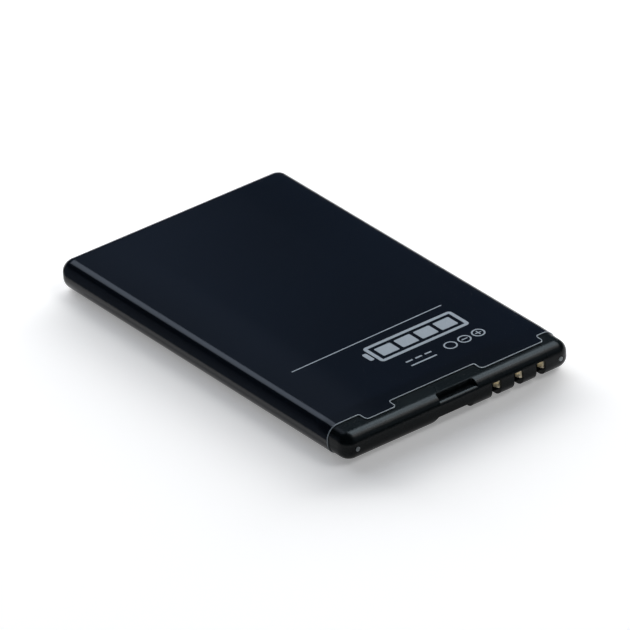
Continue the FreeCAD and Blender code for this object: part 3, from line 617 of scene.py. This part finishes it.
@dataclass(frozen=True)
class CeramicChip(Finish):
    """Fired ceramic body with tinned end caps.

    The eye sees a matt body, tan on a capacitor and black glass on a resistor, between two bright caps.
    """

    # The places of the chip's two ends along X, in metres.
    left: float = 0.0
    right: float = 0.0
    body: str = "#8a6f4f"
    roughness: float = 0.55
    grit: float = 0.05
    grit_detail: float = 3.0
    grit_depth: float = 0.003
    grit_colour: str = "#5f5f5f"
    grit_share: float = 0.3
    cap: str = "#c9c9c6"
    cap_roughness: float = 0.3
    cap_length: float = 0.22

    def wire(self, tree: bpy.types.NodeTree, place: bpy.types.NodeSocket) -> dict[str, Feed]:
        """Build the ceramic's grit and the two caps.

        Args:
            tree: The material's node tree.
            place: The chip's own coordinates, in metres.

        Returns:
            The shader's sockets and what feeds them.
        """
        middle = (self.left + self.right) / 2
        reach = (self.right - self.left) / 2 - self.cap_length * MM
        grit = add_node(tree, "ShaderNodeTexNoise", {
            "Vector": place, "Scale": per_mm(self.grit), "Detail": self.grit_detail})
        across = add_node(tree, "ShaderNodeSeparateXYZ", {"Vector": place}).outputs["X"]
        offset = add_node(tree, "ShaderNodeMath", {0: across, 1: middle}, operation="SUBTRACT")
        away = add_node(tree, "ShaderNodeMath", {0: offset}, operation="ABSOLUTE")
        caps = add_node(tree, "ShaderNodeMath", {0: away, 1: reach}, operation="GREATER_THAN")
        specks = add_node(tree, "ShaderNodeMath", {0: grit, 1: self.grit_share}, operation="MULTIPLY")
        fired = add_node(tree, "ShaderNodeMix", {
            "Factor": specks, MIX_FIRST: linear(self.body), MIX_SECOND: linear(self.grit_colour)},
            data_type="RGBA")
        chip = add_node(tree, "ShaderNodeMix", {
            "Factor": caps, MIX_FIRST: fired.outputs[MIX_RESULT], MIX_SECOND: linear(self.cap)},
            data_type="RGBA")
        return {
            "Base Color": chip.outputs[MIX_RESULT],
            "Metallic": caps,
            "Roughness": add_node(tree, "ShaderNodeMapRange", {
                "Value": caps, "To Min": self.roughness, "To Max": self.cap_roughness}),
            "Normal": add_node(tree, "ShaderNodeBump", {"Height": grit, "Distance": self.grit_depth * MM}),
        }


@dataclass(frozen=True)
class Fibre(Finish):
    """Pressed or woven fibre: insulating sheet, tape.

    The eye sees a pale matt sheet with short fibres that lie every way.
    """

    colour: str = "#d8d4c6"
    colour_deep: str = "#c2bca9"
    roughness: float = 0.85
    # Real fibres are a few hundredths of a millimetre. They are drawn as coarse as they need to show.
    fibre: float = 0.12
    fibre_stretch: float = 8.0
    depth: float = 0.01

    def wire(self, tree: bpy.types.NodeTree, place: bpy.types.NodeSocket) -> dict[str, Feed]:
        """Build two crossing layers of fibres.

        Args:
            tree: The material's node tree.
            place: The sheet's own coordinates, in metres.

        Returns:
            The shader's sockets and what feeds them.
        """
        layers = []
        for scale in ((1 / self.fibre_stretch, 1.0, 1.0), (1.0, 1.0, 1 / self.fibre_stretch)):
            laid = add_node(tree, "ShaderNodeMapping", {"Vector": place, "Scale": scale})
            layers.append(add_node(tree, "ShaderNodeTexNoise", {"Vector": laid, "Scale": per_mm(self.fibre)}))
        fibres = add_node(tree, "ShaderNodeMath", dict(enumerate(layers)), operation="MAXIMUM")
        sheet = add_node(tree, "ShaderNodeMix", {
            "Factor": fibres, MIX_FIRST: linear(self.colour_deep), MIX_SECOND: linear(self.colour)},
            data_type="RGBA")
        return {
            "Base Color": sheet.outputs[MIX_RESULT],
            "Roughness": self.roughness,
            "Normal": add_node(tree, "ShaderNodeBump", {"Height": fibres, "Distance": self.depth * MM}),
        }


@dataclass(frozen=True)
class CellFoam(Finish):
    """Closed-cell foam.

    The eye sees a dark soft block pitted with small round cells.
    """

    colour: str = "#2a2b2d"
    colour_deep: str = "#141516"
    roughness: float = 0.9
    cell: float = 0.22
    depth: float = 0.05

    def wire(self, tree: bpy.types.NodeTree, place: bpy.types.NodeSocket) -> dict[str, Feed]:
        """Build the cut cells.

        Args:
            tree: The material's node tree.
            place: The block's own coordinates, in metres.

        Returns:
            The shader's sockets and what feeds them.
        """
        pits = add_node(tree, "ShaderNodeTexVoronoi", {"Vector": place, "Scale": per_mm(self.cell)})
        foam = add_node(tree, "ShaderNodeMix", {
            "Factor": pits, MIX_FIRST: linear(self.colour_deep), MIX_SECOND: linear(self.colour)},
            data_type="RGBA")
        return {
            "Base Color": foam.outputs[MIX_RESULT],
            "Roughness": self.roughness,
            "Normal": add_node(tree, "ShaderNodeBump", {"Height": pits, "Distance": self.depth * MM}),
        }


FILM = PrintedFilm("printed_polyester_film")
FILM_CUT = CutFilm("cut_polyester_film")
HEAD_PLASTIC = GlintedPlastic("moulded_polycarbonate")
GOLD_PLATE = CoinedContact("gold_plated_strip")
NICKEL = RolledStrip("rolled_nickel_strip")
RIVET_METAL = RolledStrip("nickel_plated_rivet", colour="#c4c2bd", colour_deep="#b3b1ac", roughness=0.28)
SILVER_INK = ScreenInk("silver_screen_ink")
LAMINATE = GlassLaminate("glass_epoxy_laminate")
INSULATION = Fibre("pressed_fibre_sheet")
TAPE = Fibre("double_sided_tape", colour="#e6e6e2", colour_deep="#d4d4cf", depth=0.005)
FOAM = CellFoam("closed_cell_foam")
GASKET = MouldedPlastic("moulded_sealing_ring", colour="#1b1b1b", colour_raised="#222222", roughness=0.5)
FUSE_CASE = MouldedPlastic("moulded_cut_off_case", colour="#cfcab8", colour_raised="#c4bfac", roughness=0.5)


def dress(node: str, finish: Finish) -> None:
    """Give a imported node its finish.

    Args:
        node: The node's name.
        finish: The finish that it takes.
    """
    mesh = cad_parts[node].data
    mesh.materials.clear()
    mesh.materials.append(finish.material())
    LOG.info("%s: %s", node, finish.name)


def add_piece(name: str, shape: bmesh.types.BMesh, finish: Finish) -> None:
    """Turn a finished shape into a piece of the object.

    Args:
        name: The piece's name.
        shape: The shape, in place. It is used up.
        finish: The piece's finish.
    """
    bmesh.ops.recalc_face_normals(shape, faces=shape.faces)
    mesh = bpy.data.meshes.new(name)
    shape.to_mesh(mesh)
    shape.free()
    mesh.materials.append(finish.material())
    piece = bpy.data.objects.new(name, mesh)
    bpy.context.scene.collection.objects.link(piece)
    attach(piece, "root")
    LOG.info("%s: %d faces, %s", name, len(mesh.polygons), finish.name)


class Polarity(Enum):
    """What a printed circle says of the contact behind it."""

    BLANK = "data"
    MINUS = "negative"
    PLUS = "positive"


@dataclass
class Label:
    """The printed film: its finish, the pale cut along its front edge, and the print on its upper side."""

    slot: str = "label_film"
    # The front edge's cut faces reach this far back from the contact end and stand nearly upright.
    edge_back: float = 3.72
    edge_lean: float = 0.5
    merge_distance: float = 0.002
    cut_width: float = 0.1
    ink_height: float = 0.006
    ink_sunk: float = 0.006
    rule_start: tuple[float, float] = (-12.59, -12.59)
    rule_end: tuple[float, float] = (10.68, -12.29)
    rule_width: float = 0.17
    circle_places: tuple[tuple[float, float], ...] = ((5.59, -20.70), (7.76, -20.67), (9.93, -20.62))
    circle_radius: float = 0.79
    circle_stroke: float = 0.2
    circle_steps: int = 64
    sign_length: float = 0.9
    sign_width: float = 0.17
    gauge_low: tuple[float, float] = (-3.0, -18.25)
    gauge_high: tuple[float, float] = (10.6, -14.05)
    gauge_stroke: float = 0.5
    gauge_round: float = 0.55
    gauge_bars: int = 4
    gauge_gap: float = 0.55
    knob_length: float = 0.9
    knob_width: float = 1.9
    corner_steps: int = 6
    mark_low: tuple[float, float] = (-0.95, -21.35)
    mark_high: tuple[float, float] = (2.95, -20.25)
    mark_stroke: float = 0.26
    dashes: int = 3
    dash_share: float = 0.7

    def trim_edge(self) -> None:
        """Lay the pale cut along the film's stepped front edge, from the film's own cut faces."""
        shape = bmesh.new()
        shape.from_mesh(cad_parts["label_wrap"].data)
        bmesh.ops.remove_doubles(shape, verts=shape.verts, dist=self.merge_distance * MM)
        limit = PACK_LOW.y + (self.edge_back + self.merge_distance) * MM
        spare = [face for face in shape.faces
                 if abs(face.normal.z) > self.edge_lean or max(vert.co.y for vert in face.verts) > limit]
        bmesh.ops.delete(shape, geom=spare, context="FACES")
        bmesh.ops.solidify(shape, geom=shape.faces, thickness=-self.cut_width * MM)
        add_piece("film_cut_edge", shape, FILM_CUT)

    def print_ink(self, name: str, shape: bmesh.types.BMesh) -> None:
        """Give flat faces the thickness of the ink, from just under the film's face to just above it.

        Args:
            name: The name of the printed piece.
            shape: The flat shape, at a height of nought. It is used up.
        """
        raised = bmesh.ops.extrude_face_region(shape, geom=list(shape.faces))
        tops = [part for part in raised["geom"] if isinstance(part, bmesh.types.BMVert)]
        bmesh.ops.translate(shape, verts=tops, vec=(0, 0, (self.ink_height + self.ink_sunk) * MM))
        bmesh.ops.translate(shape, verts=shape.verts, vec=(0, 0, PACK_HIGH.z - self.ink_sunk * MM))
        add_piece(name, shape, SILVER_INK)

    def bar(self, shape: bmesh.types.BMesh, start: Vector, end: Vector, width: float,
            rounding: float = 0.0) -> None:
        """Add a flat bar between two points.

        Args:
            shape: The shape that gets the bar.
            start: The middle of one end, in millimetres.
            end: The middle of the other end, in millimetres.
            width: The bar's width in millimetres.
            rounding: The radius of its corners in millimetres.
        """
        way = end - start
        size = Matrix.Diagonal((way.length * MM, width * MM, 1.0, 1.0))
        turn = Matrix.Rotation(math.atan2(way.y, way.x), 4, "Z")
        middle = Matrix.Translation(((start + end) / 2).to_3d() * MM)
        made = bmesh.ops.create_grid(shape, x_segments=1, y_segments=1, size=0.5,
                                     matrix=middle @ turn @ size)
        if rounding:
            bmesh.ops.bevel(shape, geom=made["verts"], offset=rounding * MM, offset_type="OFFSET",
                            segments=self.corner_steps, profile=0.5, affect="VERTICES", material=-1)

    def ring(self, shape: bmesh.types.BMesh, middle: Vector) -> None:
        """Add a flat ring round a point, by spinning a short stroke right round it.

        Args:
            shape: The shape that gets the ring.
            middle: The ring's middle, in millimetres.
        """
        reach = (self.circle_radius - self.circle_stroke / 2, self.circle_radius + self.circle_stroke / 2)
        ends = [shape.verts.new(((middle.x + across) * MM, middle.y * MM, 0)) for across in reach]
        stroke = shape.edges.new(ends)
        bmesh.ops.spin(shape, geom=[*ends, stroke], cent=middle.to_3d() * MM, axis=(0, 0, 1),
                       angle=math.tau, steps=self.circle_steps, use_merge=True)

    def print_rule(self) -> None:
        """Print the long thin line."""
        shape = bmesh.new()
        self.bar(shape, Vector(self.rule_start), Vector(self.rule_end), self.rule_width)
        self.print_ink("print_rule", shape)

    def print_circle(self, polarity: Polarity, middle: Vector) -> None:
        """Print one circle with its sign.

        Args:
            polarity: What the circle says.
            middle: Its middle, in millimetres.
        """
        shape = bmesh.new()
        self.ring(shape, middle)
        half = self.sign_length / 2
        across, along = Vector((half, 0)), Vector((0, half))
        if polarity is not Polarity.BLANK:
            self.bar(shape, middle - across, middle + across, self.sign_width)
        if polarity is Polarity.PLUS:
            gap = Vector((0, self.sign_width / 2))
            self.bar(shape, middle + gap, middle + along, self.sign_width)
            self.bar(shape, middle - along, middle - gap, self.sign_width)
        self.print_ink(f"print_circle_{polarity.value}", shape)

    def print_gauge(self) -> None:
        """Print the charge gauge: a rounded case with a knob and a row of bars."""
        shape = bmesh.new()
        low, high = Vector(self.gauge_low), Vector(self.gauge_high)
        level = (low.y + high.y) / 2
        height = high.y - low.y
        self.bar(shape, Vector((low.x, level)), Vector((high.x, level)), height, self.gauge_round)
        case = max(shape.faces, key=lambda face: face.calc_area())
        bmesh.ops.inset_region(shape, faces=[case], thickness=self.gauge_stroke * MM, use_boundary=True,
                               use_even_offset=True)
        bmesh.ops.delete(shape, geom=[case], context="FACES_ONLY")
        knob_start = Vector((low.x - self.knob_length, level))
        knob_end = Vector((low.x - self.gauge_stroke / 2, level))
        self.bar(shape, knob_start, knob_end, self.knob_width, self.gauge_stroke / 2)
        margin = self.gauge_stroke + self.gauge_gap
        step = (high.x - low.x - 2 * margin + self.gauge_gap) / self.gauge_bars
        for index in range(self.gauge_bars):
            start = Vector((low.x + margin + index * step, level))
            end = Vector((low.x + margin + index * step + step - self.gauge_gap, level))
            self.bar(shape, start, end, height - 2 * margin, self.gauge_stroke / 3)
        self.print_ink("print_gauge", shape)

    def print_current_mark(self) -> None:
        """Print the sign for direct current: a long stroke beside a row of dashes."""
        shape = bmesh.new()
        low, high = Vector(self.mark_low), Vector(self.mark_high)
        self.bar(shape, low, Vector((high.x, low.y)), self.mark_stroke)
        step = (high.x - low.x) / (self.dashes - 1 + self.dash_share)
        for index in range(self.dashes):
            start = Vector((low.x + index * step, high.y))
            end = Vector((low.x + index * step + self.dash_share * step, high.y))
            self.bar(shape, start, end, self.mark_stroke)
        self.print_ink("print_current_mark", shape)

    def build(self) -> None:
        """Dress the film and print on it."""
        dress("label_wrap", FILM)
        self.trim_edge()
        self.print_rule()
        for polarity, place in zip(Polarity, self.circle_places):
            self.print_circle(polarity, Vector(place))
        self.print_gauge()
        self.print_current_mark()


@dataclass
class Head:
    """The moulded head and the fork contacts in its slots."""

    contacts: tuple[str, ...] = ("contact_data", "contact_negative", "contact_positive")

    def build(self) -> None:
        """Dress the housing and its contacts."""
        dress("head_housing", HEAD_PLASTIC)
        for contact in self.contacts:
            dress(contact, GOLD_PLATE)


@dataclass
class ProtectionCircuit:
    """The board behind the contacts, with its components and the nickel strips that feed it."""

    chips: tuple[str, ...] = ("mosfet_pair", "protection_ic")
    resistors: tuple[str, ...] = ("sense_resistor", "supply_resistor", "id_resistor")
    resistor_glass: str = "#1d1e20"
    capacitors: tuple[str, ...] = ("supply_capacitor", "filter_capacitor")
    strips: tuple[str, ...] = ("positive_tab", "negative_tab", "fuse_lead")

    def build(self) -> None:
        """Dress the board and everything on it."""
        dress("protection_board", LAMINATE)
        for chip in self.chips:
            dress(chip, MouldedChip(f"moulded_epoxy_{chip}", foot=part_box(chip)[0].y))
        for resistor in self.resistors:
            low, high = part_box(resistor)
            dress(resistor, CeramicChip(f"glazed_chip_{resistor}", body=self.resistor_glass,
                                        left=low.x, right=high.x))
        for capacitor in self.capacitors:
            low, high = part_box(capacitor)
            dress(capacitor, CeramicChip(f"ceramic_chip_{capacitor}", left=low.x, right=high.x))
        for strip in self.strips:
            dress(strip, NICKEL)
        dress("thermal_fuse", FUSE_CASE)


@dataclass
class Cell:
    """The sealed cell, what sits in its lid, and what closes the far end."""

    can: str = "sealed_cell"

    def build(self) -> None:
        """Dress the can, the pieces in its lid, the sheet and the foam before it, the cap and its tape."""
        metal = DrawnAluminium("drawn_aluminium_can", lid_place=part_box(self.can)[0].y)
        dress(self.can, metal)
        dress("fill_plug", metal)
        dress("terminal_gasket", GASKET)
        dress("terminal_rivet", RIVET_METAL)
        dress("lid_insulator", INSULATION)
        dress("foam_pad", FOAM)
        dress("rear_cap", HEAD_PLASTIC)
        dress("rear_tape", TAPE)


@dataclass
class Softbox:
    """One soft studio lamp that looks at the object. Its place and size are in metres.

    The radiance is how bright the lamp's face looks, where one is a white sheet in full light. A lamp that
    isn't mirrored leaves no highlight, and one that doesn't light leaves nothing but a highlight.
    """

    name: str
    place: tuple[float, float, float]
    size: tuple[float, float]
    radiance: float
    mirrored: bool = True
    lights: bool = True
    tint: str = "#ffffff"

    def build(self) -> None:
        """Hang the lamp. Its power follows from its area and its radiance."""
        lamp = bpy.data.lights.new(self.name, "AREA")
        lamp.shape = "RECTANGLE"
        lamp.size, lamp.size_y = self.size
        lamp.energy = self.radiance * math.pi * self.size[0] * self.size[1]
        lamp.color = linear(self.tint)[:3]
        hung = bpy.data.objects.new(self.name, lamp)
        hung.location = self.place
        hung.rotation_mode = "QUATERNION"
        hung.rotation_quaternion = (-Vector(self.place)).to_track_quat("-Z", "Y")
        hung.visible_glossy = self.mirrored
        hung.visible_diffuse = self.lights
        bpy.context.scene.collection.objects.link(hung)
        LOG.info("%s: %.1f watts", self.name, lamp.energy)


@dataclass
class Studio:
    """Floor, lamps, room and camera."""

    # Half the floor's width, in metres.
    floor_reach: float = 4.0
    floor_gap: float = 0.02
    floor_colour: str = "#fbfbfb"
    # How far the floor glows for the eye and in reflections, on top of its lamplight, so that it looks white.
    floor_glow: float = 0.27
    room: str = "#262a30"
    lamps: list[Softbox] = field(default_factory=lambda: [
        Softbox("overhead_softbox", (0.43, 0.13, 0.70), (0.6, 0.27), 7.4, lights=False, tint="#e2f4ff"),
        Softbox("front_lamp", (0.45, -0.25, 0.68), (0.36, 0.32), 3.5),
        Softbox("front_card", (0.45, -0.62, 0.45), (0.5, 0.4), 0.5, lights=False, tint="#dceeff"),
        Softbox("left_strip", (0.04, 0.56, 0.55), (0.3, 0.22), 1.75, tint="#dceaff"),
        Softbox("left_wash", (0.25, 0.70, 0.60), (0.42, 0.42), 0.15, tint="#c4d9ff"),
        Softbox("left_card", (-0.65, 0.66, 0.20), (0.6, 0.36), 0.2, tint="#cfe0ff"),
        Softbox("rear_wash", (0.50, 0.70, 0.365), (0.9, 0.34), 0.065, tint="#98bfff"),
        Softbox("rear_panel", (0.98, 1.42, 0.45), (3.5, 0.75), 15.2, mirrored=False),
    ])
    # The camera's angles are in degrees. It looks at the aim from this distance.
    aim: tuple[float, float, float] = (-0.16, -0.77, 2.0)
    distance: float = 1149.8
    azimuth: float = 35.37
    elevation: float = 30.19
    roll: float = -3.85
    lens: float = 533.9
    sensor: float = 36.0
    # The nearest and farthest that the camera sees, in metres.
    clip: tuple[float, float] = (0.01, 20.0)

    def lay_floor(self) -> None:
        """Lay the pale floor under the object. It is clear from below, so that the underside can be seen."""
        shape = bmesh.new()
        bmesh.ops.create_grid(shape, x_segments=1, y_segments=1, size=self.floor_reach,
                              matrix=Matrix.Translation((0, 0, PACK_LOW.z - self.floor_gap * MM)))
        mesh = bpy.data.meshes.new("studio_floor")
        shape.to_mesh(mesh)
        shape.free()
        floor = bpy.data.objects.new("studio_floor", mesh)
        bpy.context.scene.collection.objects.link(floor)
        material = bpy.data.materials.new("studio_paper")
        material.use_nodes = True
        tree = material.node_tree
        tree.nodes.clear()
        paper = add_node(tree, "ShaderNodeBsdfDiffuse", {"Color": linear(self.floor_colour)})
        rays = add_node(tree, "ShaderNodeLightPath").outputs
        direct = add_node(tree, "ShaderNodeMath", {
            0: rays["Is Camera Ray"], 1: rays["Is Glossy Ray"]}, operation="MAXIMUM")
        seen = add_node(tree, "ShaderNodeMath", {
            0: direct, 1: rays["Is Transmission Ray"]}, operation="MAXIMUM")
        strength = add_node(tree, "ShaderNodeMath", {0: seen, 1: self.floor_glow}, operation="MULTIPLY")
        glow = add_node(tree, "ShaderNodeEmission", {"Strength": strength})
        lit = add_node(tree, "ShaderNodeAddShader", {0: paper, 1: glow})
        clear = add_node(tree, "ShaderNodeBsdfTransparent")
        below = add_node(tree, "ShaderNodeNewGeometry").outputs["Backfacing"]
        mix = add_node(tree, "ShaderNodeMixShader", {0: below, 1: lit, 2: clear})
        add_node(tree, "ShaderNodeOutputMaterial", {"Surface": mix})
        mesh.materials.append(material)

    def light_room(self) -> None:
        """Give the room a faint even light."""
        world = bpy.data.worlds.new("studio_room")
        world.use_nodes = True
        tree = world.node_tree
        tree.nodes.clear()
        glow = add_node(tree, "ShaderNodeBackground", {"Color": linear(self.room), "Strength": 1.0})
        add_node(tree, "ShaderNodeOutputWorld", {"Surface": glow})
        bpy.context.scene.world = world

    def place_camera(self) -> None:
        """Set the camera at the photograph's viewing angle."""
        turn, rise, lean = (math.radians(angle) for angle in (self.azimuth, self.elevation, self.roll))
        ahead = Vector((math.sin(turn) * math.cos(rise), math.cos(turn) * math.cos(rise), -math.sin(rise)))
        level = ahead.cross(Vector((0, 0, 1))).normalized()
        upright = level.cross(ahead)
        right = level * math.cos(lean) + upright * math.sin(lean)
        above = right.cross(ahead)
        data = bpy.data.cameras.new("photo_camera")
        data.lens, data.sensor_width = self.lens, self.sensor
        data.clip_start, data.clip_end = self.clip
        camera = bpy.data.objects.new("photo_camera", data)
        bpy.context.scene.collection.objects.link(camera)
        facing = Matrix((right, above, -ahead)).transposed().to_4x4()
        stand = (Vector(self.aim) - ahead * self.distance) * MM
        camera.matrix_world = Matrix.Translation(stand) @ facing
        bpy.context.scene.camera = camera

    def build(self) -> None:
        """Set up the floor, the lamps, the room and the camera."""
        self.lay_floor()
        for lamp in self.lamps:
            lamp.build()
        self.light_room()
        self.place_camera()
        bpy.context.scene.view_settings.view_transform = "Standard"


def main() -> None:
    """Build the battery's looks and the studio round it."""
    logging.basicConfig(level=logging.INFO, format="%(name)s: %(message)s")
    for assembly in (Label(), Head(), ProtectionCircuit(), Cell(), Studio()):
        assembly.build()


if __name__ == "__main__":
    main()
